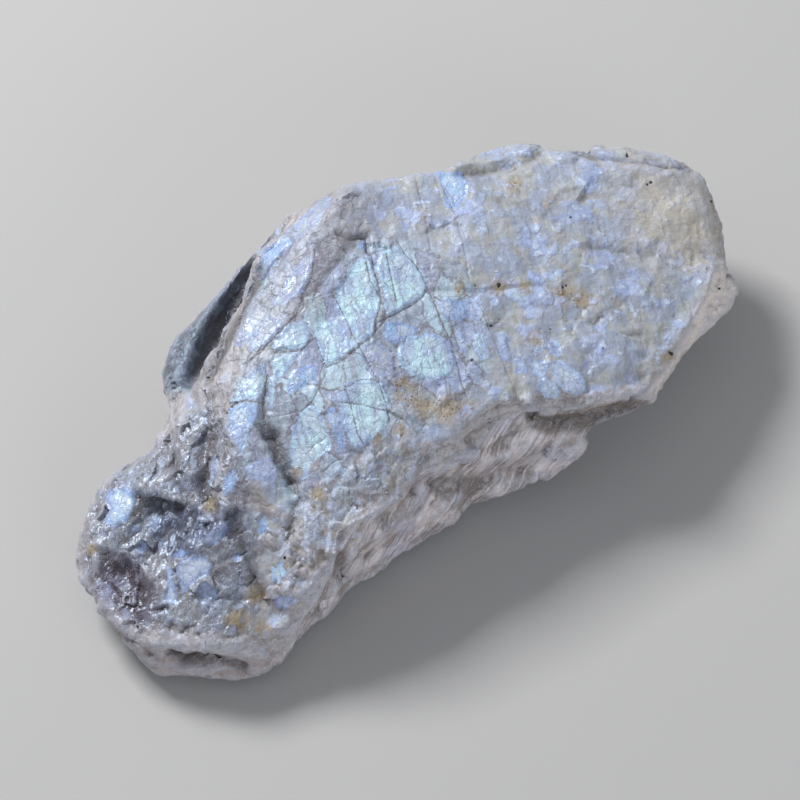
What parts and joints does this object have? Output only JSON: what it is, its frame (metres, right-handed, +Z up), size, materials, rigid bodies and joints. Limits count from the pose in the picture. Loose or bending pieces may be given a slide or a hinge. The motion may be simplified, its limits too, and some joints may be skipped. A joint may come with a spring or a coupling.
{
  "type": "rough moonstone",
  "caption": "Rough moonstone, an unpolished feldspar piece with a sloping top of pearly, blue-flashing cleavage plates and stepped, fibrous broken walls.",
  "frame": {"origin": "centre of the bounding box, on the flat face that the stone lies on", "axes": "+X along the stone towards its wide end, +Y to the back wall, +Z up"},
  "size_m": [0.065, 0.0336, 0.017],
  "materials": {
    "moonstone": "satin"
  },
  "bodies": {
    "root": {"moonstone": "moonstone"}
  },
  "joints": []
}
